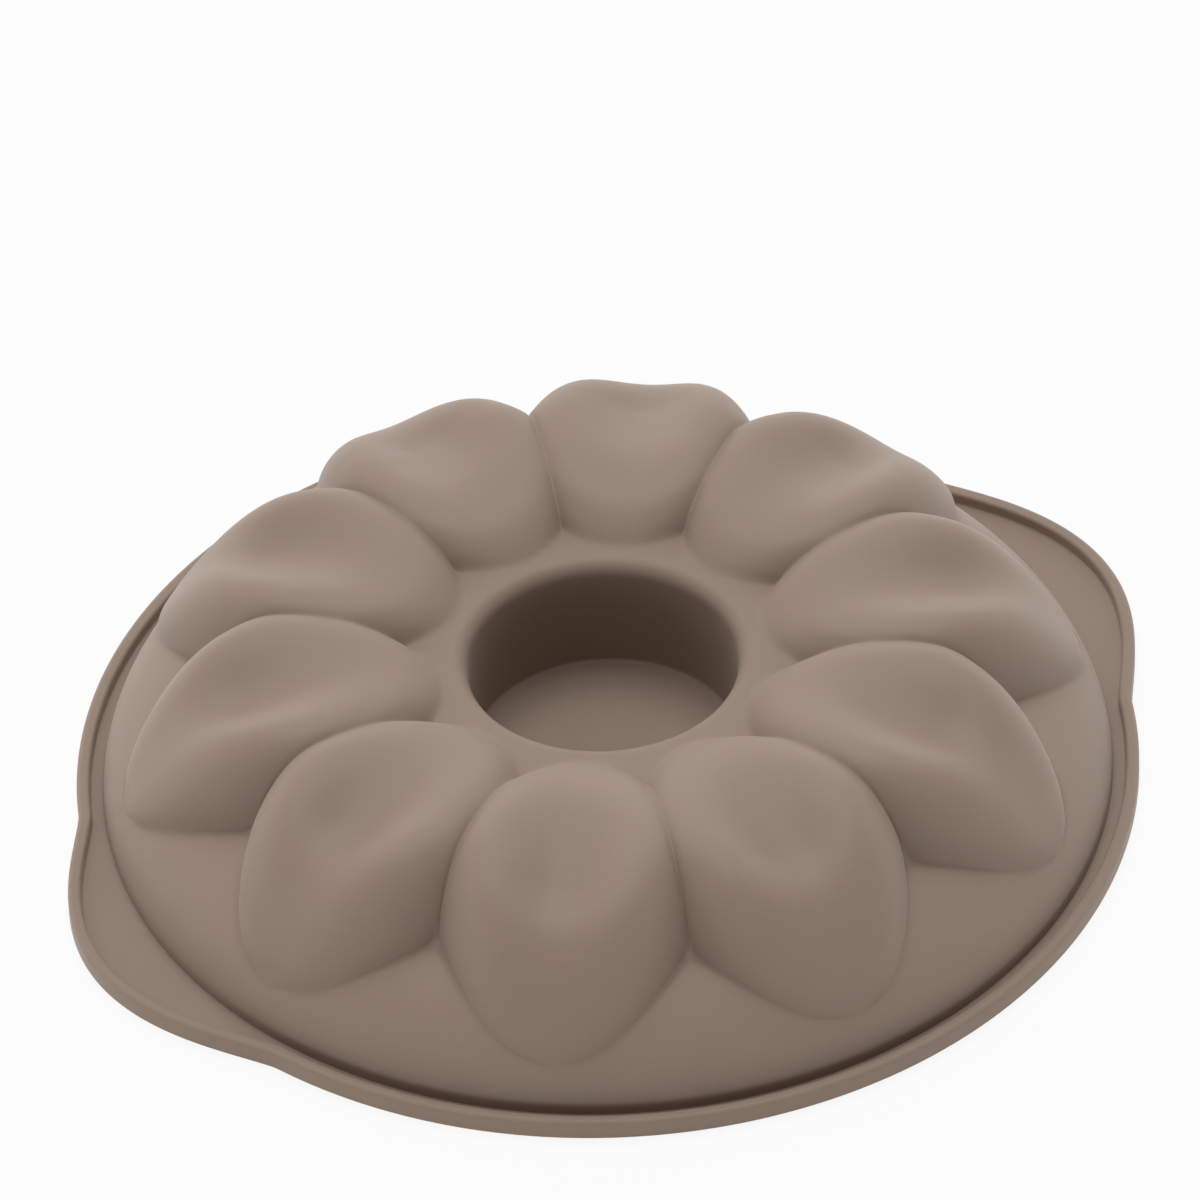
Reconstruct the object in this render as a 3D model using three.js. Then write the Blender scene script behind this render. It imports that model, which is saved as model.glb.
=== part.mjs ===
// Silicone mousse mould, lying upside down: the rim is on z = 0 and the cavity opens downwards.
// Ten hollow petals stand round a central well, on a skirt with a flat rim, a raised bead and two grip tabs.
// The moulding is divided along its own features, with a narrow gap between neighbouring regions.
// Millimetres, +Z up, +X through the grip tabs, origin at the centre of the rim's underside.

import * as THREE from 'three';

// Silicone
const WALL = 2.3;
const SPLIT_GAP = 0.3;
const SILICONE_COLOUR = 0x8f7c6e;
const SILICONE_ROUGHNESS = 0.55;

// Rim: a flat flange, a groove and a bead that follows the outline
const FLANGE_THICKNESS = 2.0;
const GROOVE_WIDTH = 2.1;
const BEAD_WIDTH = 3.6;
const BEAD_HEIGHT = 5.2;

// Grip tabs: how far the outline swells past the rim's circle, half its length along the rim, and its fullness
const TAB_REACH = 12.1;
const TAB_HALF_LENGTH = 51.8;
const TAB_FULLNESS = 1.33;

// Skirt: a rounded shoulder that falls to its foot on the flange, with a plain band under the petals' tips
const SKIRT_FOOT_RADIUS = 124.3;
const SKIRT_RUN = 32.5;
const SKIRT_RISE = 25;
const SKIRT_ROUNDNESS = 1.84;
const SKIRT_BAND = 8;

// Central well, its rounded lip and the land between the lip and the petals
const WELL_RADIUS = 33;
const WELL_FLOOR_HEIGHT = 7.2;
const LIP_FILLET = 4;
const CROWN_LAND = 2.2;
const CROWN_HEIGHT = 38;
const LAND_POWER = 1.5;

// Petals, along their axis: inner end, crest and tip
const PETALS = 10;
const CREST_REACH = 44.8;
const CREST_HEIGHT = 54.2;
const INNER_END_HEIGHT = 39.4;
const INNER_END_FILLET = 16;
const INNER_END_RADIUS = 23;
const TIP_SETBACK = 3.7;
const TIP_HEIGHT = 15;
const TIP_FILLET = 3;
const OUTWARD_POWER = 1.67;
const INWARD_POWER = 1.38;

// Petals, across their axis: half width, flank and the fillet in the valleys
const HALF_WIDTH = 35.2;
const TAPER_LENGTH = 46.3;
const TAPER_POWER = 1.5;
const TIP_BLUNTNESS = 0.6;
const SIDE_OVERLAP = 1.49;
const WIDTH_BLEND = 6;
const FLANK_POWER = 3.1;
const FLANK_STEEPNESS = 0.72;
const VALLEY_FILLET = 1.6;

// Dish between the two ridges of a petal
const DISH_DEPTH = 10;
const DISH_SETBACK = 34.1;
const DISH_INNER_LENGTH = 22.2;
const DISH_OUTER_LENGTH = 14.4;
const DISH_SHARE = 0.48;
const DISH_POWER = 2.24;

// Facets
const PETAL_ROWS = 15;
const PETAL_COLUMNS = 12;
const RING_SEGMENTS = 60;
const RIM_SEGMENTS = 96;
const ARC_STEPS = 3;
const BALL_RINGS = 3;
const BALL_SPOKES = 12;

// Places that follow from the sizes above
const PITCH = 2 * Math.PI / PETALS;
const LIP_RADIUS = WELL_RADIUS + LIP_FILLET;
const PETAL_INNER_END = LIP_RADIUS + CROWN_LAND;
const CROWN_EDGE = PETAL_INNER_END - CROWN_LAND / 4;
const CREST_RADIUS = PETAL_INNER_END + CREST_REACH;
const PETAL_TIP = SKIRT_FOOT_RADIUS - TIP_SETBACK;
const DISH_RADIUS = PETAL_TIP - DISH_SETBACK;
const SHOULDER_RADIUS = SKIRT_FOOT_RADIUS - SKIRT_RUN;
const SHOULDER_HEIGHT = FLANGE_THICKNESS + SKIRT_RISE;
const BAND_TOP = FLANGE_THICKNESS + SKIRT_BAND;
const BEAD_INNER_RADIUS = SKIRT_FOOT_RADIUS + GROOVE_WIDTH;
const RIM_RADIUS = BEAD_INNER_RADIUS + BEAD_WIDTH;
const CORE_BOTTOM = WELL_FLOOR_HEIGHT - WALL;

const clamp01 = (value) => THREE.MathUtils.clamp(value, 0, 1);

// The larger of two heights, with a rounded change from one to the other.
function smoothMax(a, b, blend) {
  const share = clamp01(0.5 + 0.5 * (a - b) / blend);
  return b * (1 - share) + a * share + blend * share * (1 - share);
}

// Surface under the petals: a land that falls away from the level crown, then the skirt's rounded shoulder.
function baseHeight(radius) {
  if (radius >= SKIRT_FOOT_RADIUS) {
    return -SKIRT_RISE;
  }
  if (radius > SHOULDER_RADIUS) {
    const run = (radius - SHOULDER_RADIUS) / SKIRT_RUN;
    return FLANGE_THICKNESS + SKIRT_RISE * (1 - run ** SKIRT_ROUNDNESS) ** (1 / SKIRT_ROUNDNESS);
  }
  const out = clamp01((radius - PETAL_INNER_END) / (SHOULDER_RADIUS - PETAL_INNER_END));
  return CROWN_HEIGHT + (SHOULDER_HEIGHT - CROWN_HEIGHT) * out ** LAND_POWER;
}

// Radius of the skirt's outside at a height above its foot.
function skirtRadius(height) {
  const rise = (height - FLANGE_THICKNESS) / SKIRT_RISE;
  return SHOULDER_RADIUS + SKIRT_RUN * (1 - rise ** SKIRT_ROUNDNESS) ** (1 / SKIRT_ROUNDNESS);
}

// Half width of a petal at a distance along its axis.
function petalHalfWidth(along) {
  const beside = along * Math.tan(PITCH / 2) * SIDE_OVERLAP;
  const taper = clamp01((along - (PETAL_TIP - TAPER_LENGTH)) / TAPER_LENGTH);
  const pointed = HALF_WIDTH * (1 - taper ** TAPER_POWER) ** TIP_BLUNTNESS;
  return -smoothMax(-beside, -pointed, WIDTH_BLEND);
}

// Height of one petal at a point given along and across its axis, or below the base where there is no petal.
function petalHeight(along, across, base) {
  const width = petalHalfWidth(along);
  const insideEnd = along - across ** 2 / (2 * INNER_END_RADIUS) - PETAL_INNER_END;
  if (insideEnd <= 0 || along >= PETAL_TIP || width <= 0 || across >= width) {
    return base - VALLEY_FILLET;
  }
  const outward = clamp01((along - CREST_RADIUS) / (PETAL_TIP - CREST_RADIUS));
  const inward = clamp01((CREST_RADIUS - along) / CREST_REACH);
  const crest = CREST_HEIGHT
    - (CREST_HEIGHT - TIP_HEIGHT) * outward ** OUTWARD_POWER
    - (CREST_HEIGHT - INNER_END_HEIGHT) * inward ** INWARD_POWER;
  const share = across / width;
  const fromDish = along - DISH_RADIUS;
  const dishLength = fromDish < 0 ? DISH_INNER_LENGTH : DISH_OUTER_LENGTH;
  const dish = DISH_DEPTH
    * Math.exp(-((fromDish / dishLength) ** 2))
    * Math.exp(-((share / DISH_SHARE) ** DISH_POWER));
  const flank = (1 - share ** FLANK_POWER) ** FLANK_STEEPNESS;
  const end = Math.sqrt(1 - clamp01(1 - insideEnd / INNER_END_FILLET) ** 2);
  const tip = Math.sqrt(1 - clamp01(1 - (PETAL_TIP - along) / TIP_FILLET) ** 2);
  return base + (crest - dish - base) * flank * end * tip;
}

// Outside of the moulding at a radius and an angle from the nearest petal's axis.
function outerHeight(radius, angle) {
  const own = Math.abs(angle - PITCH * Math.round(angle / PITCH));
  const next = PITCH - own;
  const base = baseHeight(radius);
  const ownPetal = petalHeight(radius * Math.cos(own), radius * Math.sin(own), base);
  const nextPetal = petalHeight(radius * Math.cos(next), radius * Math.sin(next), base);
  return smoothMax(smoothMax(ownPetal, nextPetal, VALLEY_FILLET), base, VALLEY_FILLET);
}

// Inside of the moulding: the surface that a ball as large as the wall traces along the outside.
function innerHeight(radius, angle) {
  const x = radius * Math.cos(angle);
  const y = radius * Math.sin(angle);
  let lowest = outerHeight(radius, angle) - WALL;
  for (let ring = 1; ring <= BALL_RINGS; ring += 1) {
    const reach = WALL * Math.sin(ring / BALL_RINGS * Math.PI / 2);
    const drop = Math.sqrt(Math.max(WALL ** 2 - reach ** 2, 0));
    for (let spoke = 0; spoke < BALL_SPOKES; spoke += 1) {
      const turn = spoke / BALL_SPOKES * 2 * Math.PI;
      const px = x + reach * Math.cos(turn);
      const py = y + reach * Math.sin(turn);
      lowest = Math.min(lowest, outerHeight(Math.hypot(px, py), Math.atan2(py, px)) - drop);
    }
  }
  return lowest;
}

// Radius where a falling surface reaches a height, found by halving the interval.
function radiusAtHeight(surface, height, angle) {
  let low = SHOULDER_RADIUS;
  let high = SKIRT_FOOT_RADIUS;
  while (high - low > SPLIT_GAP / 100) {
    const middle = (low + high) / 2;
    if (surface(middle, angle) > height) {
      low = middle;
    } else {
      high = middle;
    }
  }
  return low;
}

// Closed solid between an outer and an inner grid of points, each given as rows of columns.
function shellBetween(outer, inner) {
  const rows = outer.length;
  const columns = outer[0].length;
  const positions = [...outer.flat(), ...inner.flat()].flatMap((point) => point.toArray());
  const at = (layer, row, column) => layer * rows * columns + row * columns + column;
  const index = [];
  const quad = (a, b, c, d) => index.push(a, b, c, a, c, d);
  for (let row = 0; row + 1 < rows; row += 1) {
    for (let column = 0; column + 1 < columns; column += 1) {
      quad(at(0, row, column), at(0, row + 1, column), at(0, row + 1, column + 1), at(0, row, column + 1));
      quad(at(1, row, column), at(1, row, column + 1), at(1, row + 1, column + 1), at(1, row + 1, column));
    }
  }
  const last = columns - 1;
  for (let row = 0; row + 1 < rows; row += 1) {
    quad(at(0, row, 0), at(1, row, 0), at(1, row + 1, 0), at(0, row + 1, 0));
    quad(at(0, row, last), at(0, row + 1, last), at(1, row + 1, last), at(1, row, last));
  }
  for (let column = 0; column < last; column += 1) {
    quad(at(0, 0, column), at(0, 0, column + 1), at(1, 0, column + 1), at(1, 0, column));
    quad(at(0, rows - 1, column), at(1, rows - 1, column), at(1, rows - 1, column + 1), at(0, rows - 1, column + 1));
  }
  const geometry = new THREE.BufferGeometry();
  geometry.setAttribute('position', new THREE.Float32BufferAttribute(positions, 3));
  geometry.setIndex(index);
  geometry.computeVertexNormals();
  return geometry;
}

// Radius of a petal's rounded inner end at an angle from its axis.
function innerEndRadius(angle) {
  const bend = Math.sin(angle) ** 2 / INNER_END_RADIUS;
  const along = Math.cos(angle);
  return 2 * PETAL_INNER_END / (along + Math.sqrt(along ** 2 - 2 * bend * PETAL_INNER_END));
}

// One petal with its share of the land and the skirt, built along +X.
// The first row is the crown's edge, and the others run from the petal's inner end down to the plain band.
function petalCup() {
  const cut = BAND_TOP + SPLIT_GAP;
  const radiusAt = (row, end, angle) => {
    if (row === 0) {
      return CROWN_EDGE + SPLIT_GAP;
    }
    const start = innerEndRadius(angle);
    const eased = 0.5 - 0.5 * Math.cos(Math.PI * (row - 1) / (PETAL_ROWS - 1));
    return start + (end - start) * eased;
  };
  const grid = (surface) => {
    const rows = Array.from({ length: PETAL_ROWS + 1 }, () => []);
    for (let column = 0; column <= PETAL_COLUMNS; column += 1) {
      const side = 2 * column / PETAL_COLUMNS - 1;
      const end = radiusAtHeight(surface, cut, side * PITCH / 2);
      rows.forEach((points, row) => {
        const radius = radiusAt(row, end, side * PITCH / 2);
        const angle = side * (PITCH / 2 - Math.asin(SPLIT_GAP / 2 / radius));
        const height = row === PETAL_ROWS ? cut : surface(radius, angle);
        points.push(new THREE.Vector3(radius * Math.cos(angle), radius * Math.sin(angle), height));
      });
    }
    return rows;
  };
  return shellBetween(grid(outerHeight), grid(innerHeight));
}

// Solid of revolution about Z from a closed profile of [radius, height] points, anticlockwise.
function turned(profile, segments) {
  const closed = [...profile, profile[0]].map(([radius, height]) => new THREE.Vector2(radius, height));
  return new THREE.LatheGeometry(closed, segments).rotateX(Math.PI / 2);
}

// Points on a quarter of a circle from one angle to another, as [radius, height] pairs.
function arc(centreRadius, centreHeight, size, from, to) {
  return Array.from({ length: ARC_STEPS + 1 }, (_, step) => {
    const turn = from + (to - from) * step / ARC_STEPS;
    return [centreRadius + size * Math.cos(turn), centreHeight + size * Math.sin(turn)];
  });
}

const LIP_CENTRE_HEIGHT = baseHeight(LIP_RADIUS) - LIP_FILLET;

// Land between the petals and the well, with the rounded lip over the well's wall.
function crownRing() {
  const under = arc(LIP_RADIUS, LIP_CENTRE_HEIGHT, LIP_FILLET - WALL, Math.PI, Math.PI / 2);
  const over = arc(LIP_RADIUS, LIP_CENTRE_HEIGHT, LIP_FILLET, Math.PI / 2, Math.PI);
  const edge = baseHeight(CROWN_EDGE);
  return turned([...under, [CROWN_EDGE, edge - WALL], [CROWN_EDGE, edge], ...over], RING_SEGMENTS);
}

// Ring with upright sides and flat ends.
function plainRing(innerRadius, outerRadius, bottom, top, segments) {
  const profile = [[innerRadius, bottom], [outerRadius, bottom], [outerRadius, top], [innerRadius, top]];
  return turned(profile, segments);
}

// Disc that closes the bottom of the well, inside its wall.
function coreFloor() {
  const radius = WELL_RADIUS - SPLIT_GAP;
  return new THREE.CylinderGeometry(radius, radius, WALL, RING_SEGMENTS)
    .rotateX(Math.PI / 2)
    .translate(0, 0, WELL_FLOOR_HEIGHT - WALL / 2);
}

// Plain steep band at the foot of the skirt.
function skirtRing() {
  const bottom = FLANGE_THICKNESS + SPLIT_GAP;
  const heights = Array.from({ length: ARC_STEPS + 1 }, (_, step) => (
    bottom + (BAND_TOP - bottom) * step / ARC_STEPS
  ));
  const lean = (height) => (skirtRadius(height + SPLIT_GAP) - skirtRadius(height)) / SPLIT_GAP;
  const outside = heights.map((height) => [skirtRadius(height), height]);
  const inside = heights.map((height) => [skirtRadius(height) - WALL * Math.hypot(1, lean(height)), height]);
  return turned([...outside, ...inside.reverse()], RING_SEGMENTS);
}

// Outline of the rim: a circle that swells into a tab on +X and on -X.
function outlineRadius(angle) {
  const fromTab = Math.abs(angle - Math.PI * Math.round(angle / Math.PI));
  const share = Math.min(fromTab * RIM_RADIUS / TAB_HALF_LENGTH, 1);
  return RIM_RADIUS + TAB_REACH * Math.cos(share * Math.PI / 2) ** TAB_FULLNESS;
}

// Point of the outline moved inwards, square to the outline.
function outlinePoint(angle, inset) {
  const at = (turn) => new THREE.Vector2(Math.cos(turn), Math.sin(turn)).multiplyScalar(outlineRadius(turn));
  const step = Math.PI / RIM_SEGMENTS / 4;
  const tangent = at(angle + step).sub(at(angle - step)).normalize();
  return at(angle).add(new THREE.Vector2(-tangent.y, tangent.x).multiplyScalar(inset));
}

// Section of the bead as [inset, height] pairs: flat underneath and round on top.
function beadSection() {
  const half = BEAD_WIDTH / 2;
  const shoulder = BEAD_HEIGHT - half;
  const top = [...arc(half, shoulder, half, Math.PI, Math.PI / 2), ...arc(half, shoulder, half, Math.PI / 2, 0).slice(1)];
  return [[0, 0], ...top, [BEAD_WIDTH, 0]];
}

// Raised bead all round the outline, as a closed ring of sections.
function rimBead() {
  const section = beadSection();
  const count = section.length;
  const positions = [];
  const index = [];
  for (let step = 0; step < RIM_SEGMENTS; step += 1) {
    const angle = step / RIM_SEGMENTS * 2 * Math.PI;
    const following = (step + 1) % RIM_SEGMENTS;
    section.forEach(([inset, height], corner) => {
      const point = outlinePoint(angle, inset);
      positions.push(point.x, point.y, height);
      const a = step * count + corner;
      const b = step * count + (corner + 1) % count;
      const c = following * count + (corner + 1) % count;
      const d = following * count + corner;
      index.push(a, d, c, a, c, b);
    });
  }
  const geometry = new THREE.BufferGeometry();
  geometry.setAttribute('position', new THREE.Float32BufferAttribute(positions, 3));
  geometry.setIndex(index);
  geometry.computeVertexNormals();
  return geometry;
}

const FLANGE_EDGE = BEAD_INNER_RADIUS - SPLIT_GAP;

// Flat crescent between the flange and the bead, on +X.
function gripTab() {
  const near = FLANGE_EDGE + SPLIT_GAP;
  const inset = BEAD_WIDTH + SPLIT_GAP;
  const steps = RIM_SEGMENTS / 4;
  const reach = TAB_HALF_LENGTH / RIM_RADIUS;
  const curve = [];
  for (let step = -steps; step <= steps; step += 1) {
    const point = outlinePoint(step / steps * reach, inset);
    if (point.length() > near + SPLIT_GAP) {
      curve.push(point);
    }
  }
  const edge = curve.map((point) => point.clone().setLength(near)).reverse();
  const shape = new THREE.Shape([...curve, ...edge]);
  return new THREE.ExtrudeGeometry(shape, { depth: FLANGE_THICKNESS, bevelEnabled: false });
}

const mould = new THREE.Group();

// Adds one named region of the moulding, turned about Z.
function addRegion(name, geometry, turn = 0) {
  const material = new THREE.MeshStandardMaterial({
    color: SILICONE_COLOUR,
    roughness: SILICONE_ROUGHNESS,
    metalness: 0,
  });
  const mesh = new THREE.Mesh(geometry, material);
  mesh.name = name;
  mesh.rotation.z = turn;
  mould.add(mesh);
}

for (let petal = 0; petal < PETALS; petal += 1) {
  const number = String(petal + 1).padStart(2, '0');
  addRegion(`petal_cup_${number}`, petalCup(), (petal + 0.5) * PITCH);
}
addRegion('crown_ring', crownRing());
addRegion('core_wall', plainRing(
  WELL_RADIUS,
  WELL_RADIUS + WALL,
  CORE_BOTTOM,
  LIP_CENTRE_HEIGHT - SPLIT_GAP,
  RING_SEGMENTS,
));
addRegion('core_floor', coreFloor());
addRegion('skirt_ring', skirtRing());
addRegion('rim_flange', plainRing(
  SKIRT_FOOT_RADIUS - WALL,
  FLANGE_EDGE,
  0,
  FLANGE_THICKNESS,
  RIM_SEGMENTS,
));
addRegion('rim_bead', rimBead());
addRegion('grip_tab_right', gripTab());
addRegion('grip_tab_left', gripTab(), Math.PI);

export default mould;
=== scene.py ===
"""Silicone ring mould, upside down on a pale table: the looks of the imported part.

The real mould is one piece of rubber. It is drawn here as three skins that meet in its own folds: the
petal crown, the well in the middle, and the rim with its two grip tabs. Every length is in metres.
"""

import logging
import math
from dataclasses import asdict, dataclass
from enum import Enum
from typing import NamedTuple

import bmesh
import bpy
import numpy as np
from mathutils import Matrix, Vector


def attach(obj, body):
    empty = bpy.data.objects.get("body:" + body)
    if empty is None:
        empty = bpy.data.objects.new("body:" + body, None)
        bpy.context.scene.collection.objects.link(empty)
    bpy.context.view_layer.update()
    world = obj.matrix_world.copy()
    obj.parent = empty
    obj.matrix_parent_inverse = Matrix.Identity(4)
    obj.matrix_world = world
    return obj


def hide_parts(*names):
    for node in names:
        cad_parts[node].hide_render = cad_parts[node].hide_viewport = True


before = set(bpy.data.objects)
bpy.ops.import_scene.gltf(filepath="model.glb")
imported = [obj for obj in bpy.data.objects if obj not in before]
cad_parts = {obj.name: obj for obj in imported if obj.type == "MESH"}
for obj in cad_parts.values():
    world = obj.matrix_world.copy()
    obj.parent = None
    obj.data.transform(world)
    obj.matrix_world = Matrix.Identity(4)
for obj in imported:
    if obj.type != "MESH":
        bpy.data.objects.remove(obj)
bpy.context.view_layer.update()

LOG = logging.getLogger("mould")
BODY = "root"
MM = 0.001
SHARP_ANGLE = math.radians(50)

# A Mix node repeats the names of its sockets, so those for colours are known by number.
MIX_SHARE = 0
MIX_FIRST = 6
MIX_SECOND = 7
MIX_RESULT = 2


class Slot(Enum):
    """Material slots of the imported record."""

    SILICONE = "silicone"


class Step(NamedTuple):
    """One Math node of a rule: its name, what it does, and what it works on."""

    name: str
    operation: str
    operands: tuple[str | float, ...]
    clamp: bool = False


# Whether the camera sees a point, straight or by way of a shiny or clear surface.
SEEN_STEPS = (
    Step("reflected", "MAXIMUM", ("Is Camera Ray", "Is Glossy Ray")),
    Step("seen", "MAXIMUM", ("reflected", "Is Transmission Ray")),
)


def linear_colour(code: str) -> tuple[float, float, float, float]:
    """Turns an sRGB hex colour into linear light.

    Args:
        code: six hex digits.

    Returns:
        Red, green, blue and an alpha of 1.
    """
    shares = [int(code[k:k + 2], 16) / 255 for k in (0, 2, 4)]
    # The straight foot and the curve are the sRGB standard's own.
    red, green, blue = [s / 12.92 if s <= 0.04045 else ((s + 0.055) / 1.055) ** 2.4 for s in shares]
    return red, green, blue, 1.0


def add_node(
    tree: bpy.types.NodeTree,
    kind: str,
    feeds: dict | None = None,
    **settings: object,
) -> bpy.types.Node:
    """Adds one node with its settings and links.

    Args:
        tree: the node tree that gets the node.
        kind: Blender's type name of the node.
        feeds: for an input's name or number, the socket that feeds it or the value that it holds.
        settings: the node's own properties.

    Returns:
        The new node.
    """
    node = tree.nodes.new(kind)
    for name, value in settings.items():
        setattr(node, name, value)
    for key, feed in (feeds or {}).items():
        if isinstance(feed, bpy.types.NodeSocket):
            tree.links.new(feed, node.inputs[key])
        else:
            node.inputs[key].default_value = feed
    return node


def add_steps(tree: bpy.types.NodeTree, steps: tuple[Step, ...], known: dict) -> dict:
    """Adds a rule's steps in order, one Math node each.

    Args:
        tree: the node tree that gets the rule.
        steps: the rule.
        known: sockets by name that the rule may use.

    Returns:
        The known sockets with the steps' own results added.
    """
    sockets = dict(known)
    for step in steps:
        feeds = {k: sockets[o] if isinstance(o, str) else o for k, o in enumerate(step.operands)}
        node = add_node(tree, "ShaderNodeMath", feeds, operation=step.operation, use_clamp=step.clamp)
        sockets[step.name] = node.outputs[0]
    return sockets


def add_seen(tree: bpy.types.NodeTree) -> dict:
    """Adds the rule that tells what the camera sees from what only lights the mould.

    Args:
        tree: the node tree that gets the rule.

    Returns:
        The rule's sockets by name. Its result is "seen".
    """
    path = add_node(tree, "ShaderNodeLightPath").outputs
    return add_steps(tree, SEEN_STEPS, {socket.name: socket for socket in path})


def new_object(name: str, mesh: bpy.types.Mesh) -> bpy.types.Object:
    """Puts a mesh into the scene, at the origin.

    Args:
        name: the object's name.
        mesh: its mesh.

    Returns:
        The object.
    """
    thing = bpy.data.objects.new(name, mesh)
    bpy.context.scene.collection.objects.link(thing)
    return thing


def settle(name: str, shape: bmesh.types.BMesh, material: bpy.types.Material) -> bpy.types.Object:
    """Makes a finished piece of a closed shape: faces outwards, smooth, with its real edges kept.

    Args:
        name: the piece's name.
        shape: the closed shape, which is freed.
        material: what the piece is made of.

    Returns:
        The piece.
    """
    bmesh.ops.recalc_face_normals(shape, faces=shape.faces[:])
    for face in shape.faces:
        face.smooth = True
    for edge in shape.edges:
        edge.smooth = edge.calc_face_angle(0.0) < SHARP_ANGLE
    mesh = bpy.data.meshes.new(name)
    shape.to_mesh(mesh)
    shape.free()
    mesh.materials.append(material)
    return new_object(name, mesh)


def loft(rings: list[np.ndarray], closed: bool) -> bmesh.types.BMesh:
    """Joins rings of points into one skin.

    Args:
        rings: arrays of points, each of the same count, or of one point where the skin ends in a pole.
        closed: whether the last ring meets the first.

    Returns:
        The skin.
    """
    shape = bmesh.new()
    loops = [[shape.verts.new(point) for point in ring] for ring in rings]
    pairs = list(zip(loops, loops[1:]))
    if closed:
        pairs.append((loops[-1], loops[0]))
    for low, high in pairs:
        count = max(len(low), len(high))
        for k in range(count):
            after = (k + 1) % count
            corners = [
                low[k % len(low)],
                low[after % len(low)],
                high[after % len(high)],
                high[k % len(high)],
            ]
            shape.faces.new(list(dict.fromkeys(corners)))
    return shape


def arc(
    centre: tuple[float, float],
    radius: float,
    start: float,
    end: float,
    steps: int,
) -> list[tuple[float, float]]:
    """Points on an arc of a section.

    Args:
        centre: the arc's centre.
        radius: its radius.
        start: its first angle in degrees.
        end: its last angle in degrees.
        steps: how many parts it has.

    Returns:
        The points, both ends included.
    """
    turns = np.radians(np.linspace(start, end, steps + 1))
    return [(centre[0] + radius * math.cos(a), centre[1] + radius * math.sin(a)) for a in turns]


def parted(start: float, end: float, steps: int) -> np.ndarray:
    """Values that part a span evenly, without its two ends."""
    return np.linspace(start, end, steps + 1)[1:-1]


@dataclass(frozen=True)
class MouldedSilicone:
    """Platinum-cured silicone rubber, shot into a satin-blasted steel tool.

    The eye sees a dense taupe with a soft, dry sheen: no sharp highlight, faint clouds in the pigment, and
    a blasted grain that only a grazing light picks out. The grain of the real tool is about 0.05 mm, which
    is too fine to show, so it is drawn at 0.5 mm.
    """

    colour: str = "917D6F"
    cloud_colour: str = "968373"
    cloud_size: float = 22 * MM
    cloud_detail: float = 3.0
    grain_size: float = 0.5 * MM
    grain_detail: float = 2.0
    grain_depth: float = 0.012 * MM
    roughness: float = 0.56
    roughness_spread: float = 0.06
    ior: float = 1.41
    sheen: float = 0.12
    sheen_roughness: float = 0.45
    scatter: float = 0.08
    scatter_depth: float = 2 * MM

    def material(self) -> bpy.types.Material:
        """Builds the material.

        Returns:
            The material.
        """
        made = bpy.data.materials.new("moulded platinum silicone, taupe")
        made.use_nodes = True
        tree = made.node_tree
        tree.nodes.clear()
        place = add_node(tree, "ShaderNodeTexCoord").outputs["Object"]
        clouds = add_node(tree, "ShaderNodeTexNoise", {
            "Vector": place,
            "Scale": 1 / self.cloud_size,
            "Detail": self.cloud_detail,
        })
        grain = add_node(tree, "ShaderNodeTexNoise", {
            "Vector": place,
            "Scale": 1 / self.grain_size,
            "Detail": self.grain_detail,
        })
        pigment = add_node(tree, "ShaderNodeMix", {
            MIX_SHARE: clouds.outputs["Fac"],
            MIX_FIRST: linear_colour(self.colour),
            MIX_SECOND: linear_colour(self.cloud_colour),
        }, data_type="RGBA")
        gloss = add_node(tree, "ShaderNodeMapRange", {
            "Value": clouds.outputs["Fac"],
            "To Min": self.roughness - self.roughness_spread / 2,
            "To Max": self.roughness + self.roughness_spread / 2,
        })
        relief = add_node(tree, "ShaderNodeBump", {
            "Height": grain.outputs["Fac"],
            "Distance": self.grain_depth,
            "Strength": 1.0,
        })
        rubber = add_node(tree, "ShaderNodeBsdfPrincipled", {
            "Base Color": pigment.outputs[MIX_RESULT],
            "Roughness": gloss.outputs["Result"],
            "Normal": relief.outputs["Normal"],
            "IOR": self.ior,
            "Sheen Weight": self.sheen,
            "Sheen Roughness": self.sheen_roughness,
            "Subsurface Weight": self.scatter,
            "Subsurface Scale": self.scatter_depth,
        })
        add_node(tree, "ShaderNodeOutputMaterial", {"Surface": rubber.outputs["BSDF"]})
        return made


@dataclass(frozen=True)
class PaleTable:
    """Matt white laminate: what the mould stands on, white to the camera and pale to the mould."""

    colour: str = "F0EFED"
    camera_share: float = 0.9

    def material(self) -> bpy.types.Material:
        """Builds the material.

        Returns:
            The material.
        """
        made = bpy.data.materials.new("matt white laminate")
        made.use_nodes = True
        tree = made.node_tree
        tree.nodes.clear()
        share = add_steps(tree, (
            Step("share", "MULTIPLY", ("seen", self.camera_share)),
        ), add_seen(tree))["share"]
        board = add_node(tree, "ShaderNodeBsdfDiffuse", {"Color": linear_colour(self.colour)})
        white = add_node(tree, "ShaderNodeEmission", {"Strength": 1.0})
        mixed = add_node(tree, "ShaderNodeMixShader", {
            0: share,
            1: board.outputs["BSDF"],
            2: white.outputs["Emission"],
        })
        add_node(tree, "ShaderNodeOutputMaterial", {"Surface": mixed.outputs["Shader"]})
        return made


@dataclass(frozen=True)
class Section:
    """The sizes that more than one part of the moulding shares."""

    wall: float = 2.3 * MM
    flange: float = 2.0 * MM
    foot_radius: float = 123.6 * MM
    crown_edge: float = 38.65 * MM
    crown_height: float = 38.0 * MM
    sectors: int = 10
    columns: int = 80

    @property
    def half_pitch(self) -> float:
        """Half the angle from petal to petal."""
        return math.pi / self.sectors

    @property
    def angles(self) -> np.ndarray:
        """Angles of every column round the mould."""
        count = self.sectors * self.columns
        return np.arange(count) * 2 * math.pi / count

    def ring(self, radius: float, height: float) -> np.ndarray:
        """A round ring of points."""
        a = self.angles
        return np.stack([radius * np.cos(a), radius * np.sin(a), np.full_like(a, height)], axis=1)


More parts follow.
